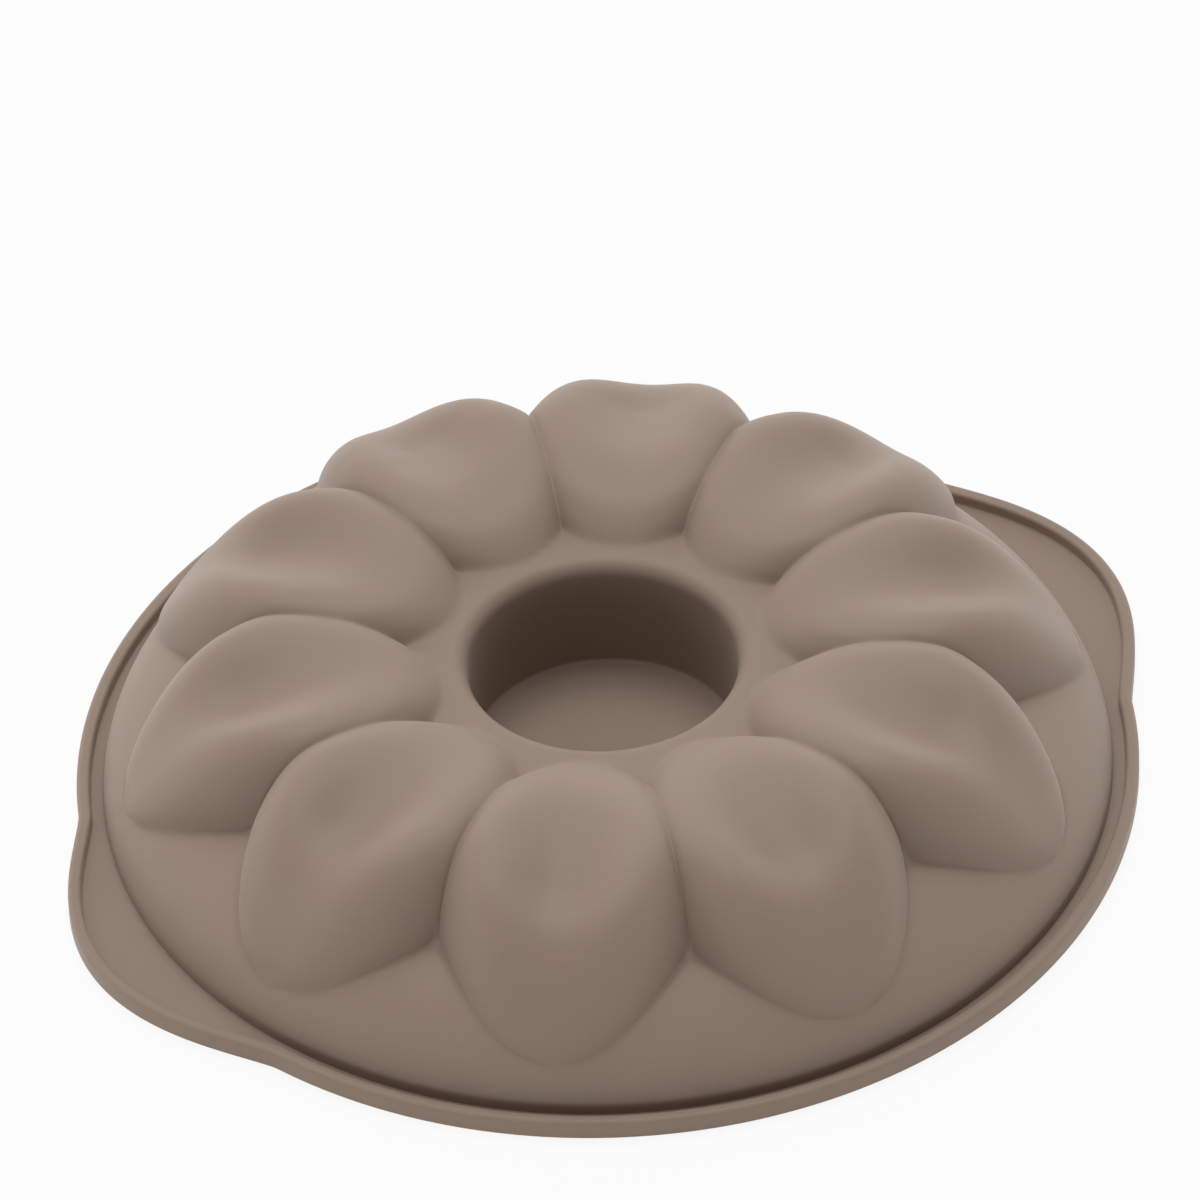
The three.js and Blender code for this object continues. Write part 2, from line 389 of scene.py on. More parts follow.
@dataclass(frozen=True)
class PetalRule:
    """The rule that every point of the petal crown follows. Each field is an input of its node tree."""

    # The round body that the petals stand on: steep skirt, then the land that rises to the well.
    skirt_run: float = 31.8 * MM
    skirt_rise: float = 25.0 * MM
    skirt_roundness: float = 1.84
    land_power: float = 1.5
    # A petal's back, along its middle from the well to the tip.
    inner_end: float = 40.2 * MM
    inner_end_height: float = 40.8 * MM
    inner_end_fillet: float = 10.0 * MM
    inner_end_radius: float = 17.0 * MM
    crest_radius: float = 84.0 * MM
    crest_height: float = 55.2 * MM
    crest_blend: float = 24.0 * MM
    outward_power: float = 1.55
    inward_power: float = 1.38
    tip_radius: float = 119.0 * MM
    tip_height: float = 17.5 * MM
    tip_fillet: float = 2.5 * MM
    # A petal's outline from above, and how its flanks fall.
    half_width: float = 35.6 * MM
    taper_length: float = 45.1 * MM
    taper_power: float = 1.22
    tip_bluntness: float = 0.46
    side_overlap: float = 1.49
    width_blend: float = 9.0 * MM
    flank_power: float = 3.1
    flank_fall: float = 0.80
    tip_fall: float = 0.36
    # The valleys between petals, and the crease along their feet.
    valley_blend: float = 2.0 * MM
    edge_ramp: float = 3.0 * MM
    edge_sink: float = 3.0 * MM
    crease_depth: float = 0.6 * MM
    crease_width: float = 1.1 * MM
    crease_start: float = 56.0 * MM
    crease_run: float = 32.0 * MM
    # The dish in a petal's back, with a ridge on each side.
    dish_depth: float = 11.0 * MM
    dish_radius: float = 86.5 * MM
    dish_inner_length: float = 22.2 * MM
    dish_outer_length: float = 14.4 * MM
    dish_share: float = 0.48
    dish_power: float = 2.24
    # How the grid's rows and columns are shared out, and how its skin is welded and smoothed.
    land_rows_share: float = 0.5
    edge_columns_share: float = 0.6
    edge_share_least: float = 0.03
    edge_share_most: float = 0.985
    column_power: float = 1.5
    thinnest: float = 0.3 * MM
    weld: float = 0.002 * MM
    smoothing: int = 1
    well_hold: float = 2.0 * MM
    rim_hold: float = 6.0 * MM


@dataclass
class PetalCrown:
    """Ten petals with the land round the well and the skirt under their tips, as one ring of rubber."""

    section: Section
    rule: PetalRule
    outer_rows: int = 96
    # The inner skin is plainer, and its columns stay further apart at the petals' tips.
    inner_rows: int = 24
    inner_smoothing: float = 2.0
    inner_edge_share: float = 0.2
    name: str = "petal_crown"

    # Sizes of the section that are inputs of the node tree too.
    SHARED = ("sectors", "half_pitch", "wall", "flange", "foot_radius", "crown_edge", "crown_height")
    # How far out a row lies: evenly on the land, then evenly along the skirt's arc.
    ROW_STEPS = (
        Step("row", "ADD", ("grid_x", 0.5)),
        Step("land_row", "DIVIDE", ("row", "land_rows_share"), True),
        Step("shoulder", "SUBTRACT", ("foot_radius", "skirt_run")),
        Step("land_reach", "SUBTRACT", ("shoulder", "crown_edge")),
        Step("on_land", "MULTIPLY_ADD", ("land_row", "land_reach", "crown_edge")),
        Step("skirt_rows_share", "SUBTRACT", (1.0, "land_rows_share")),
        Step("past_land", "SUBTRACT", ("row", "land_rows_share")),
        Step("skirt_row", "DIVIDE", ("past_land", "skirt_rows_share"), True),
        Step("skirt_turn", "MULTIPLY", ("skirt_row", math.pi / 2)),
        Step("skirt_sine", "SINE", ("skirt_turn",)),
        Step("arc_power", "DIVIDE", (2.0, "skirt_roundness")),
        Step("skirt_share", "POWER", ("skirt_sine", "arc_power")),
        Step("radius", "MULTIPLY_ADD", ("skirt_share", "skirt_run", "on_land")),
        Step("pitch", "MULTIPLY", ("half_pitch", 2.0)),
        Step("half_sine", "SINE", ("half_pitch",)),
        Step("half_tangent", "TANGENT", ("half_pitch",)),
        Step("spread", "MULTIPLY", ("half_tangent", "side_overlap")),
    )
    # A petal's half width at a place along its middle: a wedge that narrows to a blunt tip.
    WIDTH_STEPS = (
        Step("wedge", "MULTIPLY", ("along", "spread")),
        Step("to_tip", "SUBTRACT", ("tip_radius", "along")),
        Step("tapered", "SUBTRACT", ("taper_length", "to_tip")),
        Step("taper", "DIVIDE", ("tapered", "taper_length"), True),
        Step("taper_bent", "POWER", ("taper", "taper_power")),
        Step("taper_left", "SUBTRACT", (1.0, "taper_bent")),
        Step("taper_blunt", "POWER", ("taper_left", "tip_bluntness")),
        Step("pointed", "MULTIPLY", ("taper_blunt", "half_width")),
        Step("width", "SMOOTH_MIN", ("wedge", "pointed", "width_blend")),
    )
    # One round towards the angle at which a petal's edge crosses a row.
    EDGE_STEPS = (
        Step("edge_cosine", "COSINE", ("edge_angle",)),
        Step("along", "MULTIPLY", ("radius", "edge_cosine")),
        *WIDTH_STEPS,
        Step("edge_sine", "DIVIDE", ("width", "radius")),
        Step("least_sine", "MINIMUM", ("edge_sine", "half_sine")),
        Step("next_edge", "ARCSINE", ("least_sine",)),
    )
    # The angle of a column, with the columns drawn close on both sides of the petal's edge.
    COLUMN_STEPS = (
        Step("edge_part", "DIVIDE", ("edge_angle", "half_pitch")),
        Step("edge_least", "MAXIMUM", ("edge_part", "edge_share_least")),
        Step("edge_share", "MINIMUM", ("edge_least", "edge_share_most")),
        Step("side", "ABSOLUTE", ("grid_y",)),
        Step("side_share", "MULTIPLY", ("side", 2.0)),
        Step("inside_column", "DIVIDE", ("side_share", "edge_columns_share"), True),
        Step("inside_left", "SUBTRACT", (1.0, "inside_column")),
        Step("inside_bent", "POWER", ("inside_left", "column_power")),
        Step("inside_part", "SUBTRACT", (1.0, "inside_bent")),
        Step("inside_turn", "MULTIPLY", ("inside_part", "edge_share")),
        Step("past_edge", "SUBTRACT", ("side_share", "edge_columns_share")),
        Step("outside_columns", "SUBTRACT", (1.0, "edge_columns_share")),
        Step("outside_column", "DIVIDE", ("past_edge", "outside_columns"), True),
        Step("outside_bent", "POWER", ("outside_column", "column_power")),
        Step("outside_room", "SUBTRACT", (1.0, "edge_share")),
        Step("turn_share", "MULTIPLY_ADD", ("outside_bent", "outside_room", "inside_turn")),
        Step("own_angle", "MULTIPLY", ("turn_share", "half_pitch")),
        Step("hand", "SIGN", ("grid_y",)),
        Step("angle", "MULTIPLY", ("own_angle", "hand")),
        Step("next_angle", "SUBTRACT", ("pitch", "own_angle")),
    )
    # The height of the round body under the petals.
    BASE_STEPS = (
        Step("past_shoulder", "SUBTRACT", ("radius", "shoulder")),
        Step("run", "DIVIDE", ("past_shoulder", "skirt_run"), True),
        Step("run_bent", "POWER", ("run", "skirt_roundness")),
        Step("run_left", "SUBTRACT", (1.0, "run_bent"), True),
        Step("root_power", "DIVIDE", (1.0, "skirt_roundness")),
        Step("skirt_arc", "POWER", ("run_left", "root_power")),
        Step("skirt_fall", "MULTIPLY", ("skirt_arc", "skirt_rise")),
        Step("past_end", "SUBTRACT", ("radius", "inner_end")),
        Step("land_span", "SUBTRACT", ("shoulder", "inner_end")),
        Step("land_share", "DIVIDE", ("past_end", "land_span"), True),
        Step("land_bend", "POWER", ("land_share", "land_power")),
        Step("shoulder_height", "ADD", ("flange", "skirt_rise")),
        Step("land_drop", "SUBTRACT", ("crown_height", "shoulder_height")),
        Step("land_fall", "MULTIPLY", ("land_bend", "land_drop")),
        Step("land_height", "SUBTRACT", ("crown_height", "land_fall")),
        Step("above_skirt", "SUBTRACT", ("land_height", "skirt_rise")),
        Step("base", "ADD", ("above_skirt", "skirt_fall")),
    )
    # The height of one petal: crest less dish, rounded at both ends and flanks, sunk outside its edge.
    PETAL_STEPS = (
        Step("cosine", "COSINE", ("petal_angle",)),
        Step("sine", "SINE", ("petal_angle",)),
        Step("along", "MULTIPLY", ("radius", "cosine")),
        Step("aside", "MULTIPLY", ("radius", "sine")),
        *WIDTH_STEPS,
        Step("safe_width", "MAXIMUM", ("width", "thinnest")),
        Step("share", "DIVIDE", ("aside", "safe_width"), True),
        Step("share_bent", "POWER", ("share", "flank_power")),
        Step("flank_left", "SUBTRACT", (1.0, "share_bent")),
        Step("fall_change", "SUBTRACT", ("tip_fall", "flank_fall")),
        Step("fall", "MULTIPLY_ADD", ("taper", "fall_change", "flank_fall")),
        Step("flank", "POWER", ("flank_left", "fall")),
        Step("aside_squared", "MULTIPLY", ("aside", "aside")),
        Step("end_width", "MULTIPLY", ("inner_end_radius", 2.0)),
        Step("end_bow", "DIVIDE", ("aside_squared", "end_width")),
        Step("straightened", "SUBTRACT", ("along", "end_bow")),
        Step("inside_end", "SUBTRACT", ("straightened", "inner_end")),
        Step("end_part", "DIVIDE", ("inside_end", "inner_end_fillet"), True),
        Step("end_left", "SUBTRACT", (1.0, "end_part")),
        Step("end_squared", "MULTIPLY", ("end_left", "end_left")),
        Step("end_rest", "SUBTRACT", (1.0, "end_squared")),
        Step("end_round", "SQRT", ("end_rest",)),
        Step("past_crest", "SUBTRACT", ("along", "crest_radius")),
        Step("outer_span", "SUBTRACT", ("tip_radius", "crest_radius")),
        Step("past_soft", "SMOOTH_MAX", ("past_crest", 0.0, "crest_blend")),
        Step("outward", "DIVIDE", ("past_soft", "outer_span"), True),
        Step("outward_bent", "POWER", ("outward", "outward_power")),
        Step("outer_drop", "SUBTRACT", ("crest_height", "tip_height")),
        Step("outer_fall", "MULTIPLY", ("outward_bent", "outer_drop")),
        Step("before_crest", "SUBTRACT", ("crest_radius", "along")),
        Step("inner_span", "SUBTRACT", ("crest_radius", "inner_end")),
        Step("before_soft", "SMOOTH_MAX", ("before_crest", 0.0, "crest_blend")),
        Step("inward", "DIVIDE", ("before_soft", "inner_span"), True),
        Step("inward_bent", "POWER", ("inward", "inward_power")),
        Step("inner_drop", "SUBTRACT", ("crest_height", "inner_end_height")),
        Step("inner_fall", "MULTIPLY", ("inward_bent", "inner_drop")),
        Step("falls", "ADD", ("outer_fall", "inner_fall")),
        Step("crest", "SUBTRACT", ("crest_height", "falls")),
        Step("from_dish", "SUBTRACT", ("along", "dish_radius")),
        Step("beyond_dish", "MAXIMUM", ("from_dish", 0.0)),
        Step("before_dish", "MINIMUM", ("from_dish", 0.0)),
        Step("dish_out", "DIVIDE", ("beyond_dish", "dish_outer_length")),
        Step("dish_in", "DIVIDE", ("before_dish", "dish_inner_length")),
        Step("dish_out_squared", "MULTIPLY", ("dish_out", "dish_out")),
        Step("dish_spread", "MULTIPLY_ADD", ("dish_in", "dish_in", "dish_out_squared")),
        Step("dish_side", "DIVIDE", ("share", "dish_share")),
        Step("dish_side_bent", "POWER", ("dish_side", "dish_power")),
        Step("dish_falloff", "ADD", ("dish_spread", "dish_side_bent")),
        Step("dish_faded", "MULTIPLY", ("dish_falloff", -1.0)),
        Step("dish_bowl", "EXPONENT", ("dish_faded",)),
        Step("dish", "MULTIPLY", ("dish_bowl", "dish_depth")),
        Step("back", "SUBTRACT", ("crest", "dish")),
        Step("lift", "SUBTRACT", ("back", "base")),
        Step("tip_part", "DIVIDE", ("to_tip", "tip_fillet"), True),
        Step("tip_left", "SUBTRACT", (1.0, "tip_part")),
        Step("tip_squared", "MULTIPLY", ("tip_left", "tip_left")),
        Step("tip_rest", "SUBTRACT", (1.0, "tip_squared")),
        Step("tip_round", "SQRT", ("tip_rest",)),
        Step("ends_round", "MULTIPLY", ("end_round", "tip_round")),
        Step("rounded", "MULTIPLY", ("flank", "ends_round")),
        Step("side_room", "SUBTRACT", ("width", "aside")),
        Step("room", "MINIMUM", ("side_room", "inside_end")),
        Step("least_room", "MINIMUM", ("room", "to_tip")),
        Step("outside", "DIVIDE", ("least_room", "edge_ramp")),
        Step("outside_share", "MULTIPLY", ("outside", -1.0), True),
        Step("sink", "MULTIPLY", ("outside_share", "edge_sink")),
        Step("sunk_base", "SUBTRACT", ("base", "sink")),
        Step("petal", "MULTIPLY_ADD", ("lift", "rounded", "sunk_base")),
    )
    # The petal, its neighbour and the body, blended in the valleys, with the crease where two meet.
    CREASE_STEPS = (
        Step("pair_high", "MAXIMUM", ("own", "beside")),
        Step("pair_low", "MINIMUM", ("own", "beside")),
        Step("lower_base", "MINIMUM", ("pair_high", "base")),
        Step("second", "MAXIMUM", ("pair_low", "lower_base")),
        Step("first", "MAXIMUM", ("pair_high", "base")),
        Step("lead", "SUBTRACT", ("first", "second")),
        Step("lead_share", "DIVIDE", ("lead", "crease_width")),
        Step("lead_squared", "MULTIPLY", ("lead_share", "lead_share")),
        Step("lead_faded", "MULTIPLY", ("lead_squared", -1.0)),
        Step("crease_bowl", "EXPONENT", ("lead_faded",)),
        Step("past_start", "SUBTRACT", ("radius", "crease_start")),
        Step("crease_share", "DIVIDE", ("past_start", "crease_run"), True),
        Step("crease_here", "MULTIPLY", ("crease_share", "crease_depth")),
        Step("crease", "MULTIPLY", ("crease_bowl", "crease_here")),
        Step("valley", "SMOOTH_MAX", ("own", "beside", "valley_blend")),
        Step("filleted", "SMOOTH_MAX", ("valley", "base", "valley_blend")),
        Step("height", "SUBTRACT", ("filleted", "crease")),
        Step("turn_x", "COSINE", ("angle",)),
        Step("turn_y", "SINE", ("angle",)),
        Step("x", "MULTIPLY", ("turn_x", "radius")),
        Step("y", "MULTIPLY", ("turn_y", "radius")),
    )
    # Rounds that are enough for the edge's angle to settle.
    EDGE_ROUNDS = 5

    def build(self, material: bpy.types.Material) -> bpy.types.Object:
        """Makes the ring from its node tree and closes it where it meets the well and the rim.

        Args:
            material: the rubber.

        Returns:
            The piece.
        """
        tree = self.tree()
        host = new_object("petal_crown_host", bpy.data.meshes.new("petal_crown_host"))
        modifier = host.modifiers.new("petal rule", "NODES")
        modifier.node_group = tree
        values = {**self.inputs(), "rubber": material}
        for item in tree.interface.items_tree:
            if item.in_out == "INPUT":
                modifier[item.identifier] = values[item.name]
        graph = bpy.context.evaluated_depsgraph_get()
        skins = bpy.data.meshes.new_from_object(host.evaluated_get(graph))
        host.modifiers.remove(modifier)
        bpy.data.objects.remove(host)
        shape = bmesh.new()
        shape.from_mesh(skins)
        bpy.data.meshes.remove(skins)
        open_edges = [edge for edge in shape.edges if edge.is_boundary]
        halfway = (self.section.crown_edge + self.section.foot_radius) / 2
        at_crown = [edge for edge in open_edges if edge.verts[0].co.xy.length < halfway]
        at_foot = [edge for edge in open_edges if edge.verts[0].co.xy.length >= halfway]
        self.seat_edges(open_edges, halfway)
        bmesh.ops.bridge_loops(shape, edges=at_crown)
        bmesh.ops.bridge_loops(shape, edges=at_foot)
        return settle(self.name, shape, material)

    def inputs(self) -> dict[str, float | int]:
        """The node tree's sizes by name: those that the moulding shares, then the rule's own."""
        shared = {name: getattr(self.section, name) for name in self.SHARED}
        return {**shared, **asdict(self.rule)}

    def seat_edges(self, open_edges: list[bmesh.types.BMEdge], halfway: float) -> None:
        """Moves the inner skin's open edges onto the well's and the rim's own edges.

        Args:
            open_edges: the open edges of both skins.
            halfway: the radius that parts the edges at the well from those at the rim.
        """
        wall = self.section.wall
        crown_level = self.section.crown_height - wall
        mouth = self.section.foot_radius - wall
        for vert in {vert for edge in open_edges for vert in edge.verts}:
            reach = vert.co.xy.length
            at_well = reach < halfway and vert.co.z < crown_level + wall / 2
            at_rim = halfway < reach < mouth + wall / 2
            if at_well:
                vert.co = (*(vert.co.xy * self.section.crown_edge / reach), crown_level)
            elif at_rim:
                vert.co = (*(vert.co.xy * mouth / reach), self.section.flange)

    def tree(self) -> bpy.types.NodeTree:
        """Builds the node tree: an outer skin, an inner skin one wall below it, and the rubber on both.

        Returns:
            The tree.
        """
        tree = bpy.data.node_groups.new("petal crown", "GeometryNodeTree")
        interface = tree.interface
        interface.new_socket("Geometry", in_out="OUTPUT", socket_type="NodeSocketGeometry")
        for name, value in self.inputs().items():
            kind = "NodeSocketInt" if isinstance(value, int) else "NodeSocketFloat"
            interface.new_socket(name, in_out="INPUT", socket_type=kind)
        interface.new_socket("rubber", in_out="INPUT", socket_type="NodeSocketMaterial")
        entry = add_node(tree, "NodeGroupInput").outputs
        sizes = {socket.name: socket for socket in entry if socket.name}
        outside = self.skin(tree, sizes, self.outer_rows)
        plain = add_steps(tree, (
            Step("crease_depth", "MULTIPLY", ("crease_depth", 0.0)),
            Step("smoothing", "ADD", ("smoothing", self.inner_smoothing)),
            Step("edge_share_least", "ADD", ("edge_share_least", self.inner_edge_share)),
            Step("inward", "MULTIPLY", ("wall", -1.0)),
        ), sizes)
        middle = self.skin(tree, plain, self.inner_rows)
        normal = add_node(tree, "GeometryNodeInputNormal")
        shift = add_node(tree, "ShaderNodeVectorMath", {
            "Vector": normal.outputs["Normal"],
            "Scale": plain["inward"],
        }, operation="SCALE")
        inside = add_node(tree, "GeometryNodeSetPosition", {
            "Geometry": middle,
            "Offset": shift.outputs["Vector"],
        })
        turned = add_node(tree, "GeometryNodeFlipFaces", {"Mesh": inside.outputs["Geometry"]})
        both = add_node(tree, "GeometryNodeJoinGeometry", {"Geometry": outside})
        tree.links.new(turned.outputs["Mesh"], both.inputs["Geometry"])
        real = add_node(tree, "GeometryNodeRealizeInstances", {"Geometry": both.outputs["Geometry"]})
        made = add_node(tree, "GeometryNodeSetMaterial", {
            "Geometry": real.outputs["Geometry"],
            "Material": sizes["rubber"],
        })
        add_node(tree, "NodeGroupOutput", {"Geometry": made.outputs["Geometry"]})
        return tree

    def skin(self, tree: bpy.types.NodeTree, sizes: dict, rows: int) -> bpy.types.NodeSocket:
        """Adds one skin: a sector that follows the rule, repeated round the axis, welded and smoothed.

        Args:
            tree: the tree that gets it.
            sizes: the tree's inputs by name.
            rows: rows of faces from the well to the foot of the skirt.

        Returns:
            The socket that gives the skin.
        """
        grid = add_node(tree, "GeometryNodeMeshGrid", {
            "Size X": 1.0,
            "Size Y": 1.0,
            "Vertices X": rows + 1,
            "Vertices Y": self.section.columns + 1,
        })
        position = add_node(tree, "GeometryNodeInputPosition").outputs["Position"]
        parts = add_node(tree, "ShaderNodeSeparateXYZ", {"Vector": position}).outputs
        known = add_steps(tree, self.ROW_STEPS, {**sizes, "grid_x": parts["X"], "grid_y": parts["Y"]})
        edge = sizes["half_pitch"]
        for _ in range(self.EDGE_ROUNDS):
            edge = add_steps(tree, self.EDGE_STEPS, {**known, "edge_angle": edge})["next_edge"]
        known = add_steps(tree, self.COLUMN_STEPS, {**known, "edge_angle": edge})
        known = add_steps(tree, self.BASE_STEPS, known)
        own = add_steps(tree, self.PETAL_STEPS, {**known, "petal_angle": known["own_angle"]})["petal"]
        beside = add_steps(tree, self.PETAL_STEPS, {**known, "petal_angle": known["next_angle"]})["petal"]
        place = add_steps(tree, self.CREASE_STEPS, {**known, "own": own, "beside": beside})
        spot = add_node(tree, "ShaderNodeCombineXYZ", {
            "X": place["x"],
            "Y": place["y"],
            "Z": place["height"],
        })
        sector = add_node(tree, "GeometryNodeSetPosition", {
            "Geometry": grid.outputs["Mesh"],
            "Position": spot.outputs["Vector"],
        })
        posts = add_node(tree, "GeometryNodeMeshLine", {
            "Count": sizes["sectors"],
            "Offset": (0.0, 0.0, 0.0),
        })
        index = add_node(tree, "GeometryNodeInputIndex").outputs["Index"]
        turn = add_steps(tree, (
            Step("middle", "ADD", ("index", 0.5)),
            Step("turn", "MULTIPLY", ("middle", "pitch")),
        ), {**known, "index": index})["turn"]
        euler = add_node(tree, "ShaderNodeCombineXYZ", {"Z": turn})
        rotation = add_node(tree, "FunctionNodeEulerToRotation", {"Euler": euler.outputs["Vector"]})
        ring = add_node(tree, "GeometryNodeInstanceOnPoints", {
            "Points": posts.outputs["Mesh"],
            "Instance": sector.outputs["Geometry"],
            "Rotation": rotation.outputs["Rotation"],
        })
        real = add_node(tree, "GeometryNodeRealizeInstances", {"Geometry": ring.outputs["Instances"]})
        welded = add_node(tree, "GeometryNodeMergeByDistance", {
            "Geometry": real.outputs["Geometry"],
            "Distance": sizes["weld"],
        })
        flat = add_node(tree, "ShaderNodeVectorMath", {
            0: position,
            1: (1.0, 1.0, 0.0),
        }, operation="MULTIPLY")
        reach = add_node(tree, "ShaderNodeVectorMath", {0: flat.outputs["Vector"]}, operation="LENGTH")
        freedom = add_steps(tree, (
            Step("from_well", "SUBTRACT", ("reach", "crown_edge")),
            Step("well_free", "DIVIDE", ("from_well", "well_hold"), True),
            Step("from_rim", "SUBTRACT", ("level", "flange")),
            Step("rim_free", "DIVIDE", ("from_rim", "rim_hold"), True),
            Step("free", "MULTIPLY", ("well_free", "rim_free")),
        ), {**sizes, "reach": reach.outputs["Value"], "level": parts["Z"]})["free"]
        soft = add_node(tree, "GeometryNodeBlurAttribute", {
            "Iterations": sizes["smoothing"],
            "Weight": freedom,
        }, data_type="FLOAT_VECTOR")
        tree.links.new(position, next(s for s in soft.inputs if s.enabled and s.name == "Value"))
        value = next(s for s in soft.outputs if s.enabled)
        smooth = add_node(tree, "GeometryNodeSetPosition", {
            "Geometry": welded.outputs["Geometry"],
            "Position": value,
        })
        return smooth.outputs["Geometry"]

    def dress(self, piece: bpy.types.Object) -> None:
        """Says what the piece rides on and which CAD nodes it stands for.

        Args:
            piece: the piece that build made.
        """
        cups = [f"petal_cup_{k:02d}" for k in range(1, self.section.sectors + 1)]
        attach(piece, BODY)
        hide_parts(*cups, "skirt_ring")


@dataclass
class WellCore:
    """The blind well in the middle: lip, wall and flat floor, with the core's outside in the cavity."""

    section: Section
    radius: float = 33.0 * MM
    lip_fillet: float = 4.0 * MM
    floor_height: float = 7.2 * MM
    floor_fillet: float = 0.9 * MM
    core_fillet: float = 2.2 * MM
    # How finely the section is drawn.
    floor_rings: int = 5
    wall_rings: int = 8
    core_rings: int = 4
    corner_steps: int = 4
    lip_steps: int = 10
    core_steps: int = 5
    name: str = "well_core"

    def build(self, material: bpy.types.Material) -> bpy.types.Object:
        """Turns the well's section round the axis.

        Args:
            material: the rubber.

        Returns:
            The piece.
        """
        wall = self.section.wall
        top = self.section.crown_height
        lip_radius = self.radius + self.lip_fillet
        lip_height = top - self.lip_fillet
        bottom = self.floor_height - wall
        outside = self.radius + wall
        foot = self.radius - self.floor_fillet
        floor = [(foot * share, self.floor_height) for share in parted(0, 1, self.floor_rings)]
        corner_centre = (foot, self.floor_height + self.floor_fillet)
        corner = arc(corner_centre, self.floor_fillet, -90, 0, self.corner_steps)
        rise = parted(corner[-1][1], lip_height, self.wall_rings)
        sides = [(self.radius, height) for height in rise]
        lip = arc((lip_radius, lip_height), self.lip_fillet, 180, 90, self.lip_steps)
        land = [(self.section.crown_edge, top), (self.section.crown_edge, top - wall)]
        under = arc((lip_radius, lip_height), self.lip_fillet - wall, 90, 180, self.core_steps)
        core_corner = (outside - self.core_fillet, bottom + self.core_fillet)
        fall = parted(lip_height, core_corner[1], self.core_rings)
        core = [(outside, height) for height in fall]
        edge = arc(core_corner, self.core_fillet, 0, -90, self.core_steps)
        section = floor + corner + sides + lip + land + under + core + edge
        rings = [np.array([(0.0, 0.0, self.floor_height)])]
        rings += [self.section.ring(radius, height) for radius, height in section]
        halfway = core_corner[0] / 2
        rings += [self.section.ring(halfway, bottom), np.array([(0.0, 0.0, bottom)])]
        return settle(self.name, loft(rings, closed=False), material)

    def dress(self, piece: bpy.types.Object) -> None:
        """Says what the piece rides on and which CAD nodes it stands for.

        Args:
            piece: the piece that build made.
        """
        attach(piece, BODY)
        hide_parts("crown_ring", "core_wall", "core_floor")


@dataclass
class GripRim:
    """The flat rim with its raised bead, which runs round the two crescent grip tabs."""

    section: Section
    radius: float = 130.0 * MM
    tab_reach: float = 12.1 * MM
    tab_half_length: float = 51.8 * MM
    tab_fullness: float = 1.33
    bead_width: float = 3.2 * MM
    bead_height: float = 5.2 * MM
    bead_fall: float = 0.2 * MM
    outer_fillet: float = 1.2 * MM
    inner_fillet: float = 0.9 * MM
    root_fillet: float = 0.35 * MM
    edge_fillet: float = 0.6 * MM
    # How finely the section is drawn.
    flat_rings: int = 4
    crest_steps: int = 7
    fillet_steps: int = 3
    name: str = "grip_rim"

    def outline(self) -> tuple[np.ndarray, np.ndarray]:
        """The rim's outer edge.

        Returns:
            Its points, and the directions square to it, outwards.
        """
        a = self.section.angles
        from_tab = np.abs((a + math.pi / 2) % math.pi - math.pi / 2)
        share = np.minimum(from_tab * self.radius / self.tab_half_length, 1)
        reach = self.radius + self.tab_reach * np.cos(share * math.pi / 2) ** self.tab_fullness
        points = np.stack([reach * np.cos(a), reach * np.sin(a)], axis=1)
        along = np.roll(points, -1, axis=0) - np.roll(points, 1, axis=0)
        along /= np.linalg.norm(along, axis=1, keepdims=True)
        return points, np.stack([along[:, 1], -along[:, 0]], axis=1)

    def build(self, material: bpy.types.Material) -> bpy.types.Object:
        """Runs the rim's section round the outline.

        Args:
            material: the rubber.

        Returns:
            The piece.
        """
        points, square = self.outline()
        level = self.section.flange
        inner = self.section.foot_radius - self.section.wall
        soft = self.edge_fillet

        def inset(depth: float, height: float) -> np.ndarray:
            """A ring at a depth inside the outline."""
            return np.column_stack([points - square * depth, np.full(len(points), height)])

        def between(low: np.ndarray, high: np.ndarray) -> list[np.ndarray]:
            """Rings between two others."""
            return [low + (high - low) * share for share in parted(0, 1, self.flat_rings)]

        foot = self.section.ring(self.section.foot_radius, level)
        fold = self.root_fillet
        inner_level = self.bead_height - self.bead_fall
        inner_centre = (self.bead_width - self.inner_fillet, inner_level - self.inner_fillet)
        outer_centre = (self.outer_fillet, self.bead_height - self.outer_fillet)
        root_arc = arc((self.bead_width + fold, level + fold), fold, 270, 180, self.fillet_steps)
        crest_arc = arc(inner_centre, self.inner_fillet, 0, 90, self.crest_steps)
        crest_arc += arc(outer_centre, self.outer_fillet, 90, 180, self.crest_steps)
        edge_arc = arc((soft, soft), soft, 180, 270, self.fillet_steps)
        mouth_arc = arc((inner + soft, soft), soft, 270, 180, self.fillet_steps)
        root = [inset(depth, height) for depth, height in root_arc]
        crest = [inset(depth, height) for depth, height in crest_arc]
        edge = [inset(depth, height) for depth, height in edge_arc]
        mouth = self.section.ring(inner + soft, 0.0)
        lips = [self.section.ring(radius, height) for radius, height in mouth_arc]
        rings = [foot, *between(foot, root[0]), *root, *crest]
        rings += [*edge, *between(edge[-1], mouth), *lips, self.section.ring(inner, level)]
        return settle(self.name, loft(rings, closed=True), material)

    def dress(self, piece: bpy.types.Object) -> None:
        """Says what the piece rides on and which CAD nodes it stands for.

        Args:
            piece: the piece that build made.
        """
        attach(piece, BODY)
        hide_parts("rim_flange", "rim_bead", "grip_tab_left", "grip_tab_right")


